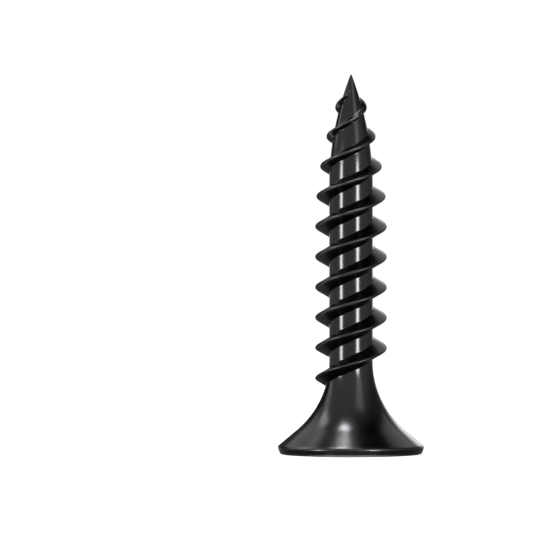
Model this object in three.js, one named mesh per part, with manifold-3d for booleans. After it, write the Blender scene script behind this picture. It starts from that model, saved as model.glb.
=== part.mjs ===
// A wood screw with a trumpet-shaped (bugle) head, a cross recess and a twin-start thread.
//
// The real screw is one piece: a length of steel wire, cold-headed at one end and rolled at the
// other. The frame is in millimetres. The origin is in the middle of the head's flat face, and
// +Z runs along the axis to the point.

import * as THREE from "three";
import { mergeVertices } from "three/addons/utils/BufferGeometryUtils.js";
import Module from "manifold-3d";

// Shank
const overallLength = 20.65;
const coreDiameter = 2.38;
const pointLength = 6.1; // the ogive from the core to where it would come to nothing
const tipRadius = 0.04; // rounding of the tip

// Head
const headDiameter = 8.05; // across the widest edge of the rim
const landHeight = 0.41; // from the face to the widest edge
const landTaper = 0.175; // how far the land draws in from the widest edge to the face
const flareConeAngle = THREE.MathUtils.degToRad(50); // between the flare's cone and the axis
const flareRadius = 4.9; // the concave arc between the cone and the core, tangent to both

// Thread
const threadDiameter = 3.9; // over the crests
const ridgeSpacing = 1.65; // from one crest to the next along the axis
const ridgeCount = 2; // starts
const flankAngle = THREE.MathUtils.degToRad(52); // between the two flanks of a ridge
const crestFlat = 0.08;
const crestTaperLength = 8.2; // over which the crests draw in towards the point
const crestRadiusAtTip = 0.2; // where the crests' curve would meet the tip's level
const threadIntoFlare = 1.64; // how far the first ridge runs down over the flare
const secondRidgeShorter = 1.6; // how much higher the second ridge starts
const threadBelowTip = 0.75; // from the tip to where the ridges run out
const firstRidgeAngle = THREE.MathUtils.degToRad(180); // where it is ridgeLevel above the face
const ridgeLevel = 10.74;
const runOutAngle = THREE.MathUtils.degToRad(80); // over which a ridge sinks into the core
const ridgeFootDepth = 0.2; // how far a ridge's foot is let into the core
const deepestFoot = 0.7; // the most of the core's radius that the foot may take, at the point

// Cross recess
const recessSpan = 5.4; // from wing tip to wing tip at the face
const wingWidth = 1.33; // at the face
const wingFloorWidth = 0.52;
const recessDepth = 2.9;
const recessWall = 0.45; // between the wings' floor and the flare's surface
const recessCornerRadius = 0.22; // in the four inner corners
const pipDiameter = 0.77; // the domed pip in the middle of the floor
const pipGroove = 0.05; // the gap left round the pip
const pipSunk = 0.3; // from the wings' floor to the groove's bottom

// Smoothness of round shapes
const turnSteps = 48;
const flareSteps = 12;
const pointSteps = 8;
const tipSteps = 2;
const cornerSteps = 3;
const pipSteps = 20;

const headRadius = headDiameter / 2;
const faceRadius = headRadius - landTaper;
const coreRadius = coreDiameter / 2;
const crestRadius = threadDiameter / 2;
const lead = ridgeSpacing * ridgeCount;
const fullTurn = 2 * Math.PI;
const pointHalfAngle = Math.atan((2 * coreRadius) / pointLength);
const pointApex = overallLength + tipRadius / Math.sin(pointHalfAngle) - tipRadius;

const wasm = await Module();
wasm.setup();

// The radius that starts at `start`, ends at `end`, and meets `end` smoothly after `length`.
function ogive(start, end, length, fromTip) {
  const left = Math.max(0, 1 - fromTip / length);
  return start + (end - start) * (1 - left * left);
}

// How far the flare's arc turns from the core to the cone, or to the rim of a very small head.
function arcSweep() {
  const sweepToRim = Math.acos(1 - (headRadius - coreRadius) / flareRadius);
  return Math.min(flareConeAngle, sweepToRim);
}

// Height where the flare's cone ends and its arc starts.
function coneTop() {
  const arcStartRadius = coreRadius + flareRadius * (1 - Math.cos(arcSweep()));
  return landHeight + (headRadius - arcStartRadius) / Math.tan(flareConeAngle);
}

// Height of the flare's upper end, where its arc runs into the core.
function flareTop() {
  return coneTop() + flareRadius * Math.sin(arcSweep());
}

// Radius of the screw without its thread, at any height above the rim.
function bodyRadiusAt(height) {
  if (height > flareTop()) {
    return ogive(0, coreRadius, pointLength, pointApex - height);
  }
  if (height < coneTop()) {
    return headRadius - (height - landHeight) * Math.tan(flareConeAngle);
  }
  const drop = flareTop() - height;
  return coreRadius + flareRadius - Math.sqrt(flareRadius ** 2 - drop ** 2);
}

// Radius of the ridges' crests at any height.
function crestRadiusAt(height) {
  return ogive(crestRadiusAtTip, crestRadius, crestTaperLength, overallLength - height);
}

// Outline of half the screw, from the middle of the face to the tip.
function bodyProfile() {
  const profile = [
    new THREE.Vector2(0, 0),
    new THREE.Vector2(faceRadius, 0),
    new THREE.Vector2(headRadius, landHeight),
  ];
  for (let i = flareSteps; i >= 0; i -= 1) {
    const height = flareTop() - flareRadius * Math.sin((arcSweep() * i) / flareSteps);
    profile.push(new THREE.Vector2(bodyRadiusAt(height), height));
  }
  const pointStart = pointApex - pointLength;
  const ballCentre = overallLength - tipRadius;
  const ballStart = ballCentre + tipRadius * Math.sin(pointHalfAngle);
  for (let i = 0; i < pointSteps; i += 1) {
    const height = pointStart + ((ballStart - pointStart) * i) / pointSteps;
    profile.push(new THREE.Vector2(bodyRadiusAt(height), height));
  }
  for (let i = 0; i < tipSteps; i += 1) {
    const angle = pointHalfAngle + ((Math.PI / 2 - pointHalfAngle) * i) / tipSteps;
    const height = ballCentre + tipRadius * Math.sin(angle);
    profile.push(new THREE.Vector2(tipRadius * Math.cos(angle), height));
  }
  profile.push(new THREE.Vector2(0, overallLength));
  return profile;
}

// Head, core and point as one turned shape.
function turnedBody() {
  return new THREE.LatheGeometry(bodyProfile(), turnSteps).rotateX(Math.PI / 2);
}

// How much of its height a ridge has at a height, from 0 in its run-outs to 1 between them.
function ridgeFullness(height, low, high) {
  const runOut = (lead * runOutAngle) / fullTurn;
  const shortest = Math.min(height - low, high - height, runOut) / runOut;
  return Math.sin((shortest * Math.PI) / 2);
}

// One section through a ridge: foot, crest, crest, foot, as points of radius and height.
function ridgeSection(height, fullness) {
  const surface = bodyRadiusAt(height);
  const footDepth = Math.min(ridgeFootDepth, surface * deepestFoot);
  const foot = surface - footDepth;
  const sunkCrest = surface - footDepth / 2;
  const crest = sunkCrest + (crestRadiusAt(height) - sunkCrest) * fullness;
  const halfCrest = crestFlat / 2;
  const halfFoot = halfCrest + (crest - foot) * Math.tan(flankAngle / 2);
  return [
    new THREE.Vector2(foot, height - halfFoot),
    new THREE.Vector2(crest, height - halfCrest),
    new THREE.Vector2(crest, height + halfCrest),
    new THREE.Vector2(foot, height + halfFoot),
  ];
}

// A ridge as a closed solid: its section swept up a right-hand helix.
function ridge(index) {
  const low = flareTop() - threadIntoFlare + index * secondRidgeShorter;
  const high = overallLength - threadBelowTip;
  const steps = Math.ceil(((high - low) / lead) * turnSteps);
  const startAngle = firstRidgeAngle + (fullTurn * index) / ridgeCount;
  const positions = [];
  for (let i = 0; i <= steps; i += 1) {
    const height = low + ((high - low) * i) / steps;
    const angle = startAngle + (fullTurn * (height - ridgeLevel)) / lead;
    for (const point of ridgeSection(height, ridgeFullness(height, low, high))) {
      positions.push(point.x * Math.cos(angle), point.x * Math.sin(angle), point.y);
    }
  }
  const faces = [0, 1, 2, 0, 2, 3];
  for (let i = 0; i < steps; i += 1) {
    for (let side = 0; side < 4; side += 1) {
      const a = 4 * i + side;
      const b = 4 * i + ((side + 1) % 4);
      faces.push(a, a + 4, b + 4, a, b + 4, b);
    }
  }
  const end = 4 * steps;
  faces.push(end, end + 2, end + 1, end, end + 3, end + 2);
  const geometry = new THREE.BufferGeometry();
  geometry.setAttribute("position", new THREE.Float32BufferAttribute(positions, 3));
  geometry.setIndex(faces);
  return geometry;
}

// Outline of the cross recess at one depth, with a fillet in each inner corner.
function crossOutline(halfSpan, halfWidth) {
  const filletCentre = halfWidth + recessCornerRadius;
  const wing = [new THREE.Vector2(halfSpan, -halfWidth), new THREE.Vector2(halfSpan, halfWidth)];
  for (let i = 0; i <= cornerSteps; i += 1) {
    const angle = -Math.PI / 2 - ((Math.PI / 2) * i) / cornerSteps;
    const x = filletCentre + recessCornerRadius * Math.cos(angle);
    const y = filletCentre + recessCornerRadius * Math.sin(angle);
    wing.push(new THREE.Vector2(x, y));
  }
  const origin = new THREE.Vector2();
  return [0, 1, 2, 3].flatMap((quarter) =>
    wing.map((point) => point.clone().rotateAround(origin, (quarter * Math.PI) / 2)),
  );
}

// A closed solid between two outlines with the same number of points.
function loft(lowOutline, lowHeight, highOutline, highHeight) {
  const count = lowOutline.length;
  const positions = [];
  for (const point of lowOutline) {
    positions.push(point.x, point.y, lowHeight);
  }
  for (const point of highOutline) {
    positions.push(point.x, point.y, highHeight);
  }
  const faces = [];
  for (let i = 0; i < count; i += 1) {
    const next = (i + 1) % count;
    faces.push(i, next, next + count, i, next + count, i + count);
  }
  for (const [a, b, c] of THREE.ShapeUtils.triangulateShape(lowOutline, [])) {
    faces.push(a, c, b, a + count, b + count, c + count);
  }
  const geometry = new THREE.BufferGeometry();
  geometry.setAttribute("position", new THREE.Float32BufferAttribute(positions, 3));
  geometry.setIndex(faces);
  return geometry;
}

// The driver recess as a solid to cut away: it narrows from the face to its floor.
function recessCutter() {
  const openAir = 0.5; // how far the cutter stands out of the face
  const floorHalfSpan = bodyRadiusAt(recessDepth) - recessWall;
  const spanSlope = (recessSpan / 2 - floorHalfSpan) / recessDepth;
  const widthSlope = (wingWidth - wingFloorWidth) / 2 / recessDepth;
  const outside = crossOutline(
    recessSpan / 2 + spanSlope * openAir,
    wingWidth / 2 + widthSlope * openAir,
  );
  const floor = crossOutline(floorHalfSpan, wingFloorWidth / 2);
  return loft(outside, -openAir, floor, recessDepth);
}

// The round hole in the middle of the recess's floor, which the pip stands in.
function pipHole() {
  const radius = pipDiameter / 2 + pipGroove;
  const throughFloor = 0.1; // how far the cutter stands out of the wings' floor
  const hole = new THREE.CylinderGeometry(radius, radius, pipSunk + throughFloor, pipSteps);
  return hole.rotateX(Math.PI / 2).translate(0, 0, recessDepth + (pipSunk - throughFloor) / 2);
}

// The domed pip that the heading punch leaves on the hole's bottom.
function recessPip() {
  const ball = new THREE.SphereGeometry(pipDiameter / 2, pipSteps, pipSteps / 2);
  return ball.rotateX(Math.PI / 2).translate(0, 0, recessDepth + pipSunk);
}

// A closed three.js geometry as a manifold solid.
function solidFrom(geometry) {
  geometry.deleteAttribute("normal");
  geometry.deleteAttribute("uv");
  const merged = mergeVertices(geometry);
  return new wasm.Manifold(
    new wasm.Mesh({
      numProp: 3,
      vertProperties: merged.attributes.position.array,
      triVerts: new Uint32Array(merged.index.array),
    }),
  );
}

// A manifold solid as a three.js geometry.
function geometryFrom(solid) {
  const { vertProperties, triVerts } = solid.getMesh();
  const geometry = new THREE.BufferGeometry();
  geometry.setAttribute("position", new THREE.BufferAttribute(vertProperties, 3));
  geometry.setIndex(new THREE.BufferAttribute(triVerts, 1));
  geometry.computeVertexNormals();
  return geometry;
}

function woodScrew() {
  let solid = solidFrom(turnedBody());
  for (let index = 0; index < ridgeCount; index += 1) {
    solid = solid.add(solidFrom(ridge(index)));
  }
  for (const cutter of [recessCutter(), pipHole()]) {
    solid = solid.subtract(solidFrom(cutter));
  }
  solid = solid.add(solidFrom(recessPip()));
  const blackOxide = new THREE.MeshStandardMaterial({
    color: 0x1c1c1d,
    roughness: 0.38,
    metalness: 0.85,
  });
  const mesh = new THREE.Mesh(geometryFrom(solid), blackOxide);
  mesh.name = "wood_screw";
  return mesh;
}

const screw = new THREE.Group();
screw.add(woodScrew());

export default screw;
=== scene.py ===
import math

import bpy
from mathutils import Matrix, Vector


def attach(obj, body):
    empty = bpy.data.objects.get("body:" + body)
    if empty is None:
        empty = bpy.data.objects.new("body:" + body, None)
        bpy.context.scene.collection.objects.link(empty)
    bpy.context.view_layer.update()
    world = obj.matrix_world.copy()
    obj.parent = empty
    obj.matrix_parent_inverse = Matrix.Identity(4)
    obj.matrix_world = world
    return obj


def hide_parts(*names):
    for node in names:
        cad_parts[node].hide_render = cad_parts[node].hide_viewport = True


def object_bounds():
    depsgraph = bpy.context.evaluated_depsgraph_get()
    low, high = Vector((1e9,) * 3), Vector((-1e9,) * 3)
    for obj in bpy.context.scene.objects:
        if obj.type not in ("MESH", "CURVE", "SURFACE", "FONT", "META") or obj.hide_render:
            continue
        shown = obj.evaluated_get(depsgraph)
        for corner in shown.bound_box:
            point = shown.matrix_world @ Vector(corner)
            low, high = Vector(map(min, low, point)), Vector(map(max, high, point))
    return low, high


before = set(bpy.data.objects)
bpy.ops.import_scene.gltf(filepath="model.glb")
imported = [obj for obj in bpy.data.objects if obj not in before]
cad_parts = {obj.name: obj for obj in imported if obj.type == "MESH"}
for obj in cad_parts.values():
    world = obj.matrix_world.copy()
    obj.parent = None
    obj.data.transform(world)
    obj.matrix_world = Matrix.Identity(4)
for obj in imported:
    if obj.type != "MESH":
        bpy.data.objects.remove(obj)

cad_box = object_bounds()
mm = 0.001

# ---------------------------------------------------------------------------------------------
# The blank. A cold header strikes the head from the end of a carbon-steel wire: a flat face, a
# thin land that widens to the rim, and a flare that starts as a cone and curves into the core
# without a step. The skin is one closed mesh, laid out as rings from the recess to the tip.

base = cad_box[0].z
overall_length = cad_box[1].z - base
head_radius = (cad_box[1].x - cad_box[0].x) / 2
land_height = 0.41 * mm
land_taper = 0.175 * mm
face_radius = head_radius - land_taper
core_radius = 1.19 * mm
cone_angle = math.radians(50)
flare_radius = 4.9 * mm
arc_start_radius = core_radius + flare_radius * (1 - math.cos(cone_angle))
cone_top = land_height + (head_radius - arc_start_radius) / math.tan(cone_angle)
flare_top = cone_top + flare_radius * math.sin(cone_angle)

point_length = 6.1 * mm
tip_radius = 0.04 * mm
point_half_angle = math.atan(2 * core_radius / point_length)
point_apex = overall_length + tip_radius / math.sin(point_half_angle) - tip_radius

columns = 160
first_column_angle = math.pi

skin_points = []
skin_rub_and_sheen = []
skin_faces = []


def ogive(start, end, length, from_tip):
    """A radius that grows from start to end over length and meets end smoothly."""
    left = max(0.0, 1 - from_tip / length)
    return start + (end - start) * (1 - left * left)


def body_radius(height):
    """Radius of the screw without its thread, above the rim."""
    if height > flare_top:
        return ogive(0, core_radius, point_length, point_apex - height)
    if height < cone_top:
        return head_radius - (height - land_height) * math.tan(cone_angle)
    drop = flare_top - height
    return core_radius + flare_radius - math.sqrt(flare_radius**2 - drop**2)


def column_angle(column):
    return first_column_angle + 2 * math.pi * column / columns


def add_point(x, y, height, rub_and_sheen=0.0):
    """Adds one point to the skin. Its rub value, from 0 to 1, is how far handling has rubbed it bare
    and how strongly a painted edge highlight brightens it.
    """
    skin_points.append((x, y, base + height))
    skin_rub_and_sheen.append(rub_and_sheen)
    return len(skin_points) - 1


def round_ring(radius, height, rub_and_sheen=0.0):
    """Adds a circle of points, one on each column."""
    angles = [column_angle(column) for column in range(columns)]
    return [add_point(radius * math.cos(a), radius * math.sin(a), height, rub_and_sheen) for a in angles]


def bridge(inner, outer, finish):
    """Joins two rings with faces of one finish. The rings run from the recess to the tip."""
    for column in range(columns):
        beside = (column + 1) % columns
        corners = (inner[column], inner[beside], outer[beside], outer[column])
        skin_faces.append((corners, finish))


def bridge_all(rings, finish):
    for inner, outer in zip(rings, rings[1:]):
        bridge(inner, outer, finish)


def rounding(before, corner, after, steps):
    """Points on a smooth bend from before to after that stays inside corner."""
    for step in range(steps + 1):
        u = step / steps
        weights = ((1 - u) ** 2, 2 * u * (1 - u), u**2)
        yield tuple(sum(w * p[i] for w, p in zip(weights, (before, corner, after))) for i in (0, 1))


# ---------------------------------------------------------------------------------------------
# The cross recess. A punch strikes it into the face while the head is formed, so its wings are
# widest at the mouth and draw in to a small flat floor, where the punch leaves a domed pip.

wing_half_span = 2.7 * mm
wing_half_width = 0.665 * mm
recess_depth = 2.9 * mm
recess_wall = 0.45 * mm
floor_half_span = body_radius(recess_depth) - recess_wall
floor_half_width = 0.28 * mm
inner_corner_radius = 0.22 * mm
wing_corner_radius = 0.045 * mm
mouth_bevel = 0.055 * mm
floor_bend = 0.035 * mm
pip_radius = 0.385 * mm
pip_groove = 0.05 * mm
pip_sunk = 0.3 * mm
pip_steps = 10
wall_steps = 14
# The mouth's edge is rubbed bare and also brightened as a painted highlight.
mouth_rub_and_sheen = 0.7
# Columns along a quarter of the cross: half an inner corner, a side, a wing's corner, half its end.
quarter_steps = (3, 11, 3, 3)


def wing_outline(half_span, half_width, inner_radius, end_radius):
    """Half a wing along +X, from the middle of its inner corner to the middle of its end."""
    inner, side, corner, end = quarter_steps
    inner_centre = half_width + inner_radius
    for step in range(inner):
        angle = math.radians(225) + math.radians(45) * step / inner
        yield (
            inner_centre + inner_radius * math.cos(angle),
            inner_centre + inner_radius * math.sin(angle),
        )
    side_end = half_span - end_radius
    for step in range(side):
        yield inner_centre + (side_end - inner_centre) * step / side, half_width
    for step in range(corner):
        angle = math.radians(90) - math.radians(90) * step / corner
        yield (
            side_end + end_radius * math.cos(angle),
            half_width - end_radius + end_radius * math.sin(angle),
        )
    for step in range(end + 1):
        yield half_span, (half_width - end_radius) * (1 - step / end)


def cross_outline(half_span, half_width, inner_radius, end_radius):
    """The cross as one point on each column, anticlockwise from the wing along -X."""
    half_wing = list(wing_outline(half_span, half_width, inner_radius, end_radius))
    eighth = len(half_wing) - 1
    outline = []
    for quarter in range(4):
        turn = first_column_angle + quarter * math.pi / 2
        lower_to_upper = [half_wing[eighth - step] for step in range(eighth)]
        next_wing = [(y, x) for x, y in half_wing[:eighth]]
        for x, y in lower_to_upper + next_wing:
            outline.append(
                (x * math.cos(turn) - y * math.sin(turn), x * math.sin(turn) + y * math.cos(turn))
            )
    return outline


def cross_ring(outward, depth, wall_share, rub_and_sheen=0.0):
    """A ring of the recess: wall_share is 0 at the mouth and 1 at the floor."""
    half_span = wing_half_span + (floor_half_span - wing_half_span) * wall_share
    half_width = wing_half_width + (floor_half_width - wing_half_width) * wall_share
    inner_radius = inner_corner_radius - outward
    outline = cross_outline(
        half_span + outward, half_width + outward, inner_radius, wing_corner_radius + outward
    )
    return [add_point(x, y, depth, rub_and_sheen) for x, y in outline]


def blend_ring(inner, outer, share, height):
    """A flat ring between two rings, such as the cross and a circle."""
    ring = []
    for a, b in zip(inner, outer):
        ax, ay, _ = skin_points[a]
        bx, by, _ = skin_points[b]
        ring.append(add_point(ax + (bx - ax) * share, ay + (by - ay) * share, height))
    return ring


# The pip, from its top outwards, and the groove round it.
groove_depth = recess_depth + pip_sunk
pip_top = add_point(0, 0, groove_depth - pip_radius)
pip_rings = []
for step in range(pip_steps, -1, -1):
    angle = math.pi / 2 * step / (pip_steps + 1)
    pip_rings.append(
        round_ring(pip_radius * math.cos(angle), groove_depth - pip_radius * math.sin(angle))
    )
for column in range(columns):
    beside = (column + 1) % columns
    skin_faces.append(((pip_top, pip_rings[0][beside], pip_rings[0][column]), "pip"))
bridge_all(pip_rings, "pip")
groove_radius = pip_radius + pip_groove
groove_foot = round_ring(groove_radius, groove_depth)
groove_lip = round_ring(groove_radius, recess_depth + floor_bend)
groove_edge = round_ring(groove_radius + floor_bend / 8, recess_depth)
bridge_all([pip_rings[-1], groove_foot, groove_lip, groove_edge], "recess")

# The floor and the walls, down to the mouth.
floor_ring = cross_ring(-floor_bend, recess_depth, 1)
floor_rings = [groove_edge]
floor_rings += [blend_ring(groove_edge, floor_ring, share, recess_depth) for share in (0.3, 0.65)]
floor_rings.append(floor_ring)
wall_foot = recess_depth - floor_bend
floor_bends = rounding((-floor_bend, recess_depth), (0, recess_depth), (0, wall_foot), 3)
for outward, depth in list(floor_bends)[1:]:
    floor_rings.append(cross_ring(outward, depth, depth / recess_depth))
bridge_all(floor_rings, "recess")
wall_rings = [floor_rings[-1]]
for step in range(1, wall_steps):
    depth = wall_foot + (mouth_bevel - wall_foot) * (step / wall_steps)
    wall_rings.append(cross_ring(0, depth, depth / recess_depth))
mouth_rings = []
for outward, depth in rounding((0, mouth_bevel), (0, 0), (mouth_bevel, 0), 4):
    mouth_rings.append(cross_ring(outward, depth, depth / recess_depth, mouth_rub_and_sheen))
bridge_all(wall_rings + mouth_rings[:1], "recess")
bridge_all(mouth_rings, "face")

# ---------------------------------------------------------------------------------------------
# The head's face, land and rim. The die closes on the wire here, so the face is flat and smooth,
# and its edge and the rim are slightly rounded.

face_edge_bend = 0.12 * mm
rim_bend = 0.1 * mm
# The face's edge and the rim are rubbed bare and also brightened as a painted highlight.
face_edge_rub_and_sheen = 0.6
rim_rub_and_sheen = 0.4
cone_rings = 12
arc_rings = 40
# The flare's plain rings end here, and the thread's rows begin.
thread_foot = 3.3 * mm

face_edge = round_ring(face_radius - face_edge_bend, 0)
face_rings = [mouth_rings[-1]]
for share in (0.02, 0.12, 0.3, 0.5, 0.7, 0.88, 0.98):
    face_rings.append(blend_ring(mouth_rings[-1], face_edge, share, 0))
face_rings.append(face_edge)
bridge_all(face_rings, "face")

land_slope = land_taper / land_height
land_rings = [face_edge]
land_foot = (face_radius + land_slope * face_edge_bend, face_edge_bend)
face_bends = rounding((face_radius - face_edge_bend, 0), (face_radius, 0), land_foot, 5)
for radius, height in list(face_bends)[1:]:
    land_rings.append(round_ring(radius, height, face_edge_rub_and_sheen))
land_top = (head_radius - land_slope * rim_bend, land_height - rim_bend)
for share in (0.1, 0.5, 0.9):
    radius = land_foot[0] + (land_top[0] - land_foot[0]) * share
    height = land_foot[1] + (land_top[1] - land_foot[1]) * share
    land_rings.append(round_ring(radius, height))
cone_foot = land_height + rim_bend
rim_after = (body_radius(cone_foot), cone_foot)
for radius, height in rounding(land_top, (head_radius, land_height), rim_after, 6):
    land_rings.append(round_ring(radius, height, rim_rub_and_sheen))
bridge_all(land_rings, "land")

flare_rings = [land_rings[-1]]
for step in range(1, cone_rings + 1):
    height = cone_foot + (cone_top - cone_foot) * step / cone_rings
    flare_rings.append(round_ring(body_radius(height), height))
foot_sweep = math.asin((flare_top - thread_foot) / flare_radius)
for step in range(1, arc_rings + 1):
    sweep = cone_angle + (foot_sweep - cone_angle) * step / arc_rings
    height = flare_top - flare_radius * math.sin(sweep)
    flare_rings.append(round_ring(body_radius(height), height))
bridge_all(flare_rings, "flare")

# ---------------------------------------------------------------------------------------------
# The thread. Flat dies roll it into the wire: two right-hand ridges side by side, which sink into
# the core under the head and at the point. Rows of the mesh follow the ridges round the shank.

crest_radius = 1.95 * mm
ridge_spacing = 1.65 * mm
ridge_count = 2
lead = ridge_spacing * ridge_count
flank_angle = math.radians(52)
crest_flat = 0.08 * mm
crest_taper_length = 8.2 * mm
crest_radius_at_tip = 0.2 * mm
ridge_level = 10.74 * mm
thread_into_flare = 1.64 * mm
second_ridge_shorter = 1.6 * mm
thread_below_tip = 0.75 * mm
plain_tip_length = 0.65 * mm
thread_head = overall_length - plain_tip_length
run_out_angle = 80
run_out = lead * run_out_angle / 360
ridge_foot_depth = 0.2 * mm
deepest_foot_share = 0.7
least_foot = 0.1 * mm
# A crest's rub, bare steel and painted highlight together, is full where it stands this far out of
# the core.
rub_and_sheen_full_above = 0.4 * mm
root_bend_share = 0.09
crest_bend_share = 0.08
crest_round_share = 0.3
flank_shares = (0.3, 0.55)
crest_steps = 2
root_steps = 4
valley_shares = (0.03, 0.12, 0.26, 0.42, 0.58, 0.74, 0.88, 0.97)
half_rows = crest_steps + 1 + len(flank_shares) + root_steps + 1
rows_per_ridge = 2 * half_rows + 1 + len(valley_shares)
# Rows keep this far from the plain rings below and above the thread.
row_margin = 0.012 * mm


def ridge_fullness(start, height):
    """How far a ridge has risen out of the core, from 0 in its run-outs to 1."""
    low = flare_top - thread_into_flare + start * second_ridge_shorter
    high = overall_length - thread_below_tip
    shortest = min(height - low, high - height, run_out) / run_out
    return math.sin(max(0.0, shortest) * math.pi / 2)


def ridge_crest(start, height):
    """Radius of a ridge's crest at a height on it."""
    surface = body_radius(height)
    sunk = surface - min(ridge_foot_depth, surface * deepest_foot_share) / 2
    full = ogive(crest_radius_at_tip, crest_radius, crest_taper_length, overall_length - height)
    crest = sunk + (full - sunk) * ridge_fullness(start, height)
    return max(crest, surface)


def crest_rub_and_sheen(height, crest):
    """A crest is rubbed bare, and brightened as a painted highlight, where it stands out of the core,
    and not in its run-outs.
    """
    return min(1.0, (crest - body_radius(height)) / rub_and_sheen_full_above)


def half_ridge(height, crest, side):
    """Rows from the crest down one flank to the core, as (height, radius, rub and painted highlight).
    """
    edge = crest_flat / 2
    rise = crest - body_radius(height)
    reach = edge + max(rise, least_foot) * math.tan(flank_angle / 2)
    rub_and_sheen = crest_rub_and_sheen(height, crest)

    def flank(share):
        level = height + side * (edge + (reach - edge) * share)
        return level, body_radius(level) + rise * (1 - share)

    beside_crest = height + side * edge * crest_round_share
    crest_before = (beside_crest, body_radius(beside_crest) + rise)
    past_root = height + side * (reach + (reach - edge) * root_bend_share)
    after_root = (past_root, body_radius(past_root))
    crest_bend = rounding(crest_before, flank(0), flank(crest_bend_share), crest_steps)
    root_bend = rounding(flank(1 - root_bend_share), flank(1), after_root, root_steps)
    rows = [(*place, rub_and_sheen) for place in crest_bend]
    rows += [(*flank(share), 0.0) for share in flank_shares]
    rows += [(*place, 0.0) for place in root_bend]
    return rows


def ridge_rows(number, column):
    """Every row of one ridge on one column, from its lower root to its upper root."""
    height = ridge_level + ridge_spacing * number + lead * column / columns
    crest = ridge_crest(number % ridge_count, height)
    lower = half_ridge(height, crest, -1)
    upper = half_ridge(height, crest, 1)
    return lower[::-1] + [(height, crest, crest_rub_and_sheen(height, crest))] + upper


def column_rows(column):
    """{row number: point} of the thread's points on one column between the plain rings."""
    first = math.floor((thread_foot - ridge_level - lead) / ridge_spacing) - 1
    last = math.ceil((thread_head - ridge_level) / ridge_spacing) + 1
    ridges = {number: ridge_rows(number, column) for number in range(first, last + 1)}
    angle = column_angle(column)
    points = {}
    for number in range(first, last):
        rows = list(ridges[number])
        low, high = rows[-1][0], ridges[number + 1][0][0]
        for share in valley_shares:
            height = low + (high - low) * share
            rows.append((height, body_radius(height), 0.0))
        for place, (height, radius, rub_and_sheen) in enumerate(rows):
            if thread_foot + row_margin < height < thread_head - row_margin:
                row = number * rows_per_ridge + place
                x, y = radius * math.cos(angle), radius * math.sin(angle)
                points[row] = add_point(x, y, height, rub_and_sheen)
    return points


def join_columns(left, right, low_left, low_right, high_left, high_right):
    """Fills the strip between two columns, from the plain ring below to the one above."""
    both = sorted(set(left) & set(right))
    for row, above in zip(both, both[1:]):
        finish = "ridge" if row % rows_per_ridge < 2 * half_rows else "core"
        skin_faces.append(((left[row], right[row], right[above], left[above]), finish))
    first, last = both[0], both[-1]
    chain = [right[row] for row in sorted(right) if row <= first]
    edge = low_right
    for point in chain[:-1]:
        skin_faces.append(((low_left, edge, point), "core"))
        edge = point
    skin_faces.append(((low_left, edge, chain[-1], left[first]), "core"))
    chain = [left[row] for row in sorted(left, reverse=True) if row >= last]
    edge = high_left
    for point in chain[:-1]:
        skin_faces.append(((high_right, edge, point), "core"))
        edge = point
    skin_faces.append(((high_right, edge, chain[-1], right[last]), "core"))


point_ring = round_ring(body_radius(thread_head), thread_head)
thread_columns = [column_rows(column) for column in range(columns)]
turn_rows = ridge_count * rows_per_ridge
thread_columns.append({row - turn_rows: point for row, point in thread_columns[0].items()})
foot_ring = flare_rings[-1]
for column in range(columns):
    beside = (column + 1) % columns
    join_columns(
        thread_columns[column],
        thread_columns[column + 1],
        foot_ring[column],
        foot_ring[beside],
        point_ring[column],
        point_ring[beside],
    )

# ---------------------------------------------------------------------------------------------
# The point. The dies pinch it off the scrap, so the last stretch is a plain cone with a very
# small round tip.

point_steps = 12
tip_steps = 6
# The tip is rubbed bare and also brightened as a painted highlight.
tip_rub_and_sheen = 0.6
ball_centre = overall_length - tip_radius
ball_start = ball_centre + tip_radius * math.sin(point_half_angle)
point_rings = [point_ring]
for step in range(1, point_steps):
    height = thread_head + (ball_start - thread_head) * step / point_steps
    point_rings.append(round_ring(body_radius(height), height))
for step in range(tip_steps):
    angle = point_half_angle + (math.pi / 2 - point_half_angle) * step / tip_steps
    height = ball_centre + tip_radius * math.sin(angle)
    point_rings.append(round_ring(tip_radius * math.cos(angle), height, tip_rub_and_sheen))
bridge_all(point_rings, "core")
tip = add_point(0, 0, overall_length, tip_rub_and_sheen)
for column in range(columns):
    beside = (column + 1) % columns
    skin_faces.append(((point_rings[-1][column], point_rings[-1][beside], tip), "core"))

# ---------------------------------------------------------------------------------------------
# The finish. Hardened steel with a thin black oxide: satin, nearly black, with a fine grain.
# Handling rubs the crests, the rim and the recess's mouth a little brighter, and the same mark also
# paints a highlight along these edges.

oxide_dark = (0.052, 0.052, 0.054)
oxide_light = (0.072, 0.072, 0.074)
# The struck face is lighter than the rest of the oxide, partly its own finish and partly a painted
# reflection of the light it faces.
face_and_reflection_dark = (0.13, 0.13, 0.135)
face_and_reflection_light = (0.17, 0.17, 0.175)
# Bare steel where the oxide is rubbed off; on the edges it also serves as a painted highlight.
bare_steel_and_sheen = (0.3, 0.3, 0.3)
# The pip's lighter steel is partly bare punched metal and partly a painted glint.
bare_steel_and_glint_light = (0.5, 0.5, 0.5)
scuffed_roughness = 0.45
# Most of a noise texture lies between these two values.
noise_low = 0.25
noise_high = 0.75
least_patch = 0.45


def shader_group(name, inputs, outputs):
    """A new shader node group with its sockets, and its input and output nodes."""
    group = bpy.data.node_groups.new(name, "ShaderNodeTree")
    for socket, default in inputs:
        made = group.interface.new_socket(socket, in_out="INPUT", socket_type="NodeSocketFloat")
        made.default_value = default
    for socket, kind in outputs:
        group.interface.new_socket(socket, in_out="OUTPUT", socket_type=kind)
    return group, group.nodes.new("NodeGroupInput"), group.nodes.new("NodeGroupOutput")


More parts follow.
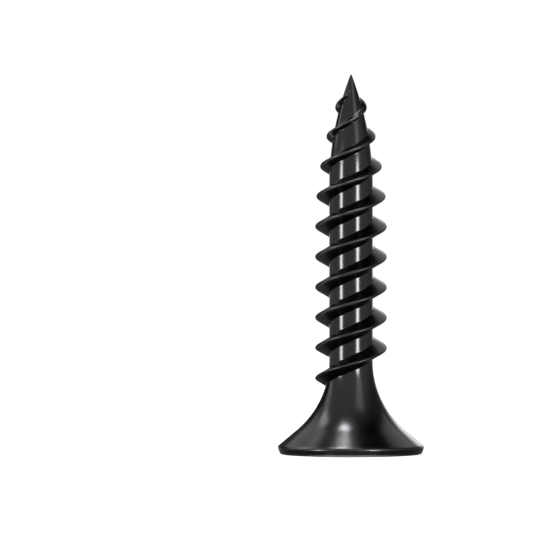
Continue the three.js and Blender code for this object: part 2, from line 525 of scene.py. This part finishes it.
def oxide_group():
    """Cloudy tone and roughness of the oxide, and its fine grain as a height."""
    group, given, out = shader_group(
        "oxide",
        [("Cloud Scale", 900.0), ("Grain Scale", 40000.0)],
        [("Cloud", "NodeSocketFloat"), ("Grain", "NodeSocketFloat")],
    )
    nodes, link = group.nodes, group.links.new
    place = nodes.new("ShaderNodeTexCoord")
    cloud = nodes.new("ShaderNodeTexNoise")
    cloud.inputs["Detail"].default_value = 4
    cloud.inputs["Roughness"].default_value = 0.6
    grain = nodes.new("ShaderNodeTexNoise")
    grain.inputs["Detail"].default_value = 2
    link(place.outputs["Object"], cloud.inputs["Vector"])
    link(place.outputs["Object"], grain.inputs["Vector"])
    link(given.outputs["Cloud Scale"], cloud.inputs["Scale"])
    link(given.outputs["Grain Scale"], grain.inputs["Scale"])
    link(cloud.outputs["Fac"], out.inputs["Cloud"])
    link(grain.outputs["Fac"], out.inputs["Grain"])
    return group


def rubbed_and_sheen_group():
    """Where handling has rubbed the oxide thin, which is also where a highlight is painted along the
    edges: along crests, the rim and the recess's mouth.
    """
    group, given, out = shader_group(
        "rubbed_and_sheen",
        [("Break-up Scale", 2600.0), ("Strength", 1.0)],
        [("Rubbed_And_Sheen", "NodeSocketFloat")],
    )
    nodes, link = group.nodes, group.links.new
    place = nodes.new("ShaderNodeTexCoord")
    edge = nodes.new("ShaderNodeAttribute")
    edge.attribute_name = "rub_and_sheen"
    patches = nodes.new("ShaderNodeTexNoise")
    patches.inputs["Detail"].default_value = 3
    broken = nodes.new("ShaderNodeMapRange")
    broken.inputs["From Min"].default_value = noise_low
    broken.inputs["From Max"].default_value = noise_high
    broken.inputs["To Min"].default_value = least_patch
    on_edge = nodes.new("ShaderNodeMath")
    on_edge.operation = "MULTIPLY"
    strong = nodes.new("ShaderNodeMath")
    strong.operation = "MULTIPLY"
    link(place.outputs["Object"], patches.inputs["Vector"])
    link(given.outputs["Break-up Scale"], patches.inputs["Scale"])
    link(patches.outputs["Fac"], broken.inputs["Value"])
    link(edge.outputs["Fac"], on_edge.inputs[0])
    link(broken.outputs["Result"], on_edge.inputs[1])
    link(on_edge.outputs["Value"], strong.inputs[0])
    link(given.outputs["Strength"], strong.inputs[1])
    link(strong.outputs["Value"], out.inputs["Rubbed_And_Sheen"])
    return group


oxide = oxide_group()
rubbed_and_sheen = rubbed_and_sheen_group()


def black_oxide(name, dark, light, smooth, rough, grain_height, rub_and_sheen_strength, scuff):
    """Steel under oxide: dark to light and smooth to rough by its clouds, bare and lighter where it
    is rubbed, which is also a painted edge highlight. scuff is how fast the rubbed places turn rough."""
    material = bpy.data.materials.new(name)
    material.use_nodes = True
    nodes, link = material.node_tree.nodes, material.node_tree.links.new
    shader = nodes["Principled BSDF"]
    shader.inputs["Metallic"].default_value = 1.0
    coat = nodes.new("ShaderNodeGroup")
    coat.node_tree = oxide
    wear_and_sheen = nodes.new("ShaderNodeGroup")
    wear_and_sheen.node_tree = rubbed_and_sheen
    wear_and_sheen.inputs["Strength"].default_value = rub_and_sheen_strength
    tone = nodes.new("ShaderNodeMix")
    tone.data_type = "RGBA"
    tone.inputs["A"].default_value = (*dark, 1)
    tone.inputs["B"].default_value = (*light, 1)
    worn_and_sheened = nodes.new("ShaderNodeMix")
    worn_and_sheened.data_type = "RGBA"
    worn_and_sheened.inputs["B"].default_value = (*bare_steel_and_sheen, 1)
    roughness = nodes.new("ShaderNodeMapRange")
    roughness.inputs["From Min"].default_value = noise_low
    roughness.inputs["From Max"].default_value = noise_high
    roughness.inputs["To Min"].default_value = smooth
    roughness.inputs["To Max"].default_value = rough
    bump = nodes.new("ShaderNodeBump")
    bump.inputs["Distance"].default_value = grain_height
    link(coat.outputs["Cloud"], tone.inputs["Factor"])
    link(tone.outputs["Result"], worn_and_sheened.inputs["A"])
    link(wear_and_sheen.outputs["Rubbed_And_Sheen"], worn_and_sheened.inputs["Factor"])
    link(worn_and_sheened.outputs["Result"], shader.inputs["Base Color"])
    link(coat.outputs["Cloud"], roughness.inputs["Value"])
    scuffed = nodes.new("ShaderNodeMix")
    scuffed.inputs["B"].default_value = scuffed_roughness
    scuff_share = nodes.new("ShaderNodeMath")
    scuff_share.operation = "MULTIPLY"
    scuff_share.inputs[1].default_value = scuff
    link(wear_and_sheen.outputs["Rubbed_And_Sheen"], scuff_share.inputs[0])
    link(scuff_share.outputs["Value"], scuffed.inputs["Factor"])
    link(roughness.outputs["Result"], scuffed.inputs["A"])
    link(scuffed.outputs["Result"], shader.inputs["Roughness"])
    link(coat.outputs["Grain"], bump.inputs["Height"])
    link(bump.outputs["Normal"], shader.inputs["Normal"])
    return material


materials = [
    black_oxide("rolled_steel", oxide_dark, oxide_light, 0.15, 0.2, 0.0001 * mm, 0.15, 5),
    black_oxide("ridge_steel", oxide_dark, oxide_light, 0.21, 0.27, 0.0002 * mm, 0.15, 4),
    black_oxide("headed_steel", oxide_dark, oxide_light, 0.19, 0.25, 0.0002 * mm, 0.3, 2),
    # The face's lighter oxide is partly its own finish and partly painted reflection.
    black_oxide("struck_face_and_reflection", face_and_reflection_dark, face_and_reflection_light, 0.36, 0.46, 0.0004 * mm, 0.5, 0),
    black_oxide("punched_steel", oxide_dark, oxide_light, 0.3, 0.42, 0.001 * mm, 0.4, 0),
    # The pip is painted light: partly bare punched steel, partly a painted glint.
    black_oxide("pip_steel_and_glint", bare_steel_and_sheen, bare_steel_and_glint_light, 0.2, 0.3, 0.001 * mm, 0, 0),
]
finish_of = {"core": 0, "ridge": 1, "flare": 2, "land": 2, "face": 3, "recess": 4, "pip": 5}

mesh = bpy.data.meshes.new("wood_screw_skin")
mesh.from_pydata(skin_points, [], [corners for corners, _ in skin_faces])
for material in materials:
    mesh.materials.append(material)
mesh.polygons.foreach_set("material_index", [finish_of[f] for _, f in skin_faces])
mesh.polygons.foreach_set("use_smooth", [True] * len(skin_faces))
# Per point: rubbed bare steel together with a painted edge highlight.
rub_and_sheen_layer = mesh.attributes.new("rub_and_sheen", "FLOAT", "POINT")
rub_and_sheen_layer.data.foreach_set("value", skin_rub_and_sheen)
mesh.update()
screw = bpy.data.objects.new("screw", mesh)
bpy.context.scene.collection.objects.link(screw)
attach(screw, "root")
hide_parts("wood_screw")

# ---------------------------------------------------------------------------------------------
# The studio: a pale floor, a light room with a bright backdrop behind, soft boxes round the screw,
# and dark flags that darken part of what the steel reflects.

floor_size = 1.5
floor_gap = 0.005 * mm
floor_mesh = bpy.data.meshes.new("floor")
floor_corners = [(x * floor_size, y * floor_size, 0) for x, y in ((-1, -1), (1, -1), (1, 1), (-1, 1))]
floor_mesh.from_pydata(floor_corners, [], [(0, 1, 2, 3)])
floor = bpy.data.objects.new("floor", floor_mesh)
floor.location.z = base - floor_gap
floor.visible_glossy = False
floor.visible_diffuse = False
floor.visible_shadow = False
bpy.context.scene.collection.objects.link(floor)
floor_paint = bpy.data.materials.new("floor_paint")
floor_paint.use_nodes = True
floor_nodes, floor_link = floor_paint.node_tree.nodes, floor_paint.node_tree.links.new
paint = floor_nodes["Principled BSDF"]
paint.inputs["Base Color"].default_value = (0.8, 0.8, 0.8, 1)
paint.inputs["Roughness"].default_value = 0.9
paint.inputs["Specular IOR Level"].default_value = 0
paint.inputs["Emission Color"].default_value = (1, 1, 1, 1)
paint.inputs["Emission Strength"].default_value = 0.8
underside = floor_nodes.new("ShaderNodeNewGeometry")
clear = floor_nodes.new("ShaderNodeBsdfTransparent")
one_sided = floor_nodes.new("ShaderNodeMixShader")
floor_link(underside.outputs["Backfacing"], one_sided.inputs["Fac"])
floor_link(paint.outputs["BSDF"], one_sided.inputs[1])
floor_link(clear.outputs["BSDF"], one_sided.inputs[2])
floor_link(one_sided.outputs["Shader"], floor_nodes["Material Output"].inputs["Surface"])
floor_mesh.materials.append(floor_paint)

front_light = 0.47
back_light = 0.12
backdrop_light = 1.2
below_light = 0.11
toward_back = (0.35, 0.8, 0.9)
# Each flag has a direction, and the cosines from it where the dark starts and is full.
flags = (
    ((0.3, 0.33, 0.9), 0.89, 0.965),
    ((-0.2, 0.96, 0.2), 0.966, 0.982),
    ((-0.62, 0.74, 0.26), 0.93, 0.97),
)
flag_share = 0.05
world = bpy.data.worlds.new("studio")
bpy.context.scene.world = world
world.use_nodes = True
nodes, link = world.node_tree.nodes, world.node_tree.links.new
background = nodes["Background"]
around = nodes.new("ShaderNodeTexCoord")


def world_blend(direction, start, end, from_value, to_value):
    """Brightness that goes from one value to another along a direction."""
    along = nodes.new("ShaderNodeVectorMath")
    along.operation = "DOT_PRODUCT"
    along.inputs[1].default_value = direction
    blend = nodes.new("ShaderNodeMapRange")
    blend.inputs["From Min"].default_value = start
    blend.inputs["From Max"].default_value = end
    blend.inputs["To Min"].default_value = from_value
    blend.inputs["To Max"].default_value = to_value
    link(around.outputs["Generated"], along.inputs[0])
    link(along.outputs["Value"], blend.inputs["Value"])
    return blend.outputs["Result"]


with_backdrop = nodes.new("ShaderNodeMix")
with_backdrop.inputs["B"].default_value = backdrop_light
link(world_blend(toward_back, 0.3, 0.9, front_light, back_light), with_backdrop.inputs["A"])
link(world_blend((0, 1, 0), 0.87, 0.94, 0, 1), with_backdrop.inputs["Factor"])
room = with_backdrop.outputs["Result"]
for direction, start, end in flags:
    flagged = nodes.new("ShaderNodeMath")
    flagged.operation = "MULTIPLY"
    link(room, flagged.inputs[0])
    link(world_blend(Vector(direction).normalized(), start, end, 1, flag_share), flagged.inputs[1])
    room = flagged.outputs["Value"]
with_floor = nodes.new("ShaderNodeMix")
with_floor.inputs["A"].default_value = below_light
link(room, with_floor.inputs["B"])
link(world_blend((0, 0, 1), -0.16, -0.08, 0, 1), with_floor.inputs["Factor"])
path = nodes.new("ShaderNodeLightPath")
seen = nodes.new("ShaderNodeMix")
seen.inputs["B"].default_value = 1
link(with_floor.outputs["Result"], seen.inputs["A"])
link(path.outputs["Is Camera Ray"], seen.inputs["Factor"])
link(seen.outputs["Result"], background.inputs["Strength"])
background.inputs["Color"].default_value = (1, 1, 1, 1)

aim_at = Vector((0, 0, base + overall_length / 2))


def softbox(name, azimuth, elevation, wide, tall, brightness, distance=0.15):
    """A soft box. Its place and size are angles in degrees, seen from the screw's middle:
    azimuth 0 is the front and 90 the right."""
    light = bpy.data.lights.new(name, "AREA")
    light.shape = "RECTANGLE"
    light.size = 2 * distance * math.tan(math.radians(wide / 2))
    light.size_y = 2 * distance * math.tan(math.radians(tall / 2))
    light.energy = brightness * math.pi * light.size * light.size_y
    lamp = bpy.data.objects.new(name, light)
    turn, lift = math.radians(azimuth), math.radians(elevation)
    direction = Vector(
        (math.sin(turn) * math.cos(lift), -math.cos(turn) * math.cos(lift), math.sin(lift))
    )
    lamp.location = aim_at + direction * distance
    lamp.rotation_mode = "QUATERNION"
    lamp.rotation_quaternion = (-direction).to_track_quat("-Z", "Y")
    lamp.visible_camera = False
    bpy.context.scene.collection.objects.link(lamp)
    return lamp


softbox("strip_left", -53, 0, 12.5, 20, 13.5)
softbox("strip_right", 35, 0, 13, 20, 15)
softbox("upper_right", 40, 34, 24, 44, 0.8)
softbox("side_left", -112, 46, 14, 18, 3.4)
softbox("side_left_low", -108, 24, 18, 26, 0.9)
softbox("overhead", -73, 80.3, 11, 13, 20, 0.0403)
softbox("high_left_back", -138, 54.8, 10, 9, 1.5)
softbox("back_left", -152, 38, 40, 30, 0.6)
softbox("back_right", 148, 40, 34, 26, 0.6)
softbox("rim_right", 162, 14, 12, 12, 1.5)
softbox("under", 0, -90, 60, 60, 2)

camera_distance = 515 * mm
camera_height = 24.5 * mm
frame_width = 28.97 * mm
aim_left = 4.595 * mm
aim_height = 10.21 * mm
sensor_width = 36
camera_data = bpy.data.cameras.new("camera")
camera_data.sensor_width = sensor_width
camera_data.lens = sensor_width * camera_distance / frame_width
camera_data.clip_start = 0.01
camera_data.clip_end = 10
camera = bpy.data.objects.new("camera", camera_data)
camera.location = (-aim_left, -camera_distance, camera_height)
look = Vector((-aim_left, 0, aim_height)) - camera.location
camera.rotation_mode = "QUATERNION"
camera.rotation_quaternion = look.to_track_quat("-Z", "Y")
bpy.context.scene.collection.objects.link(camera)
bpy.context.scene.camera = camera
bpy.context.scene.view_settings.view_transform = "Standard"
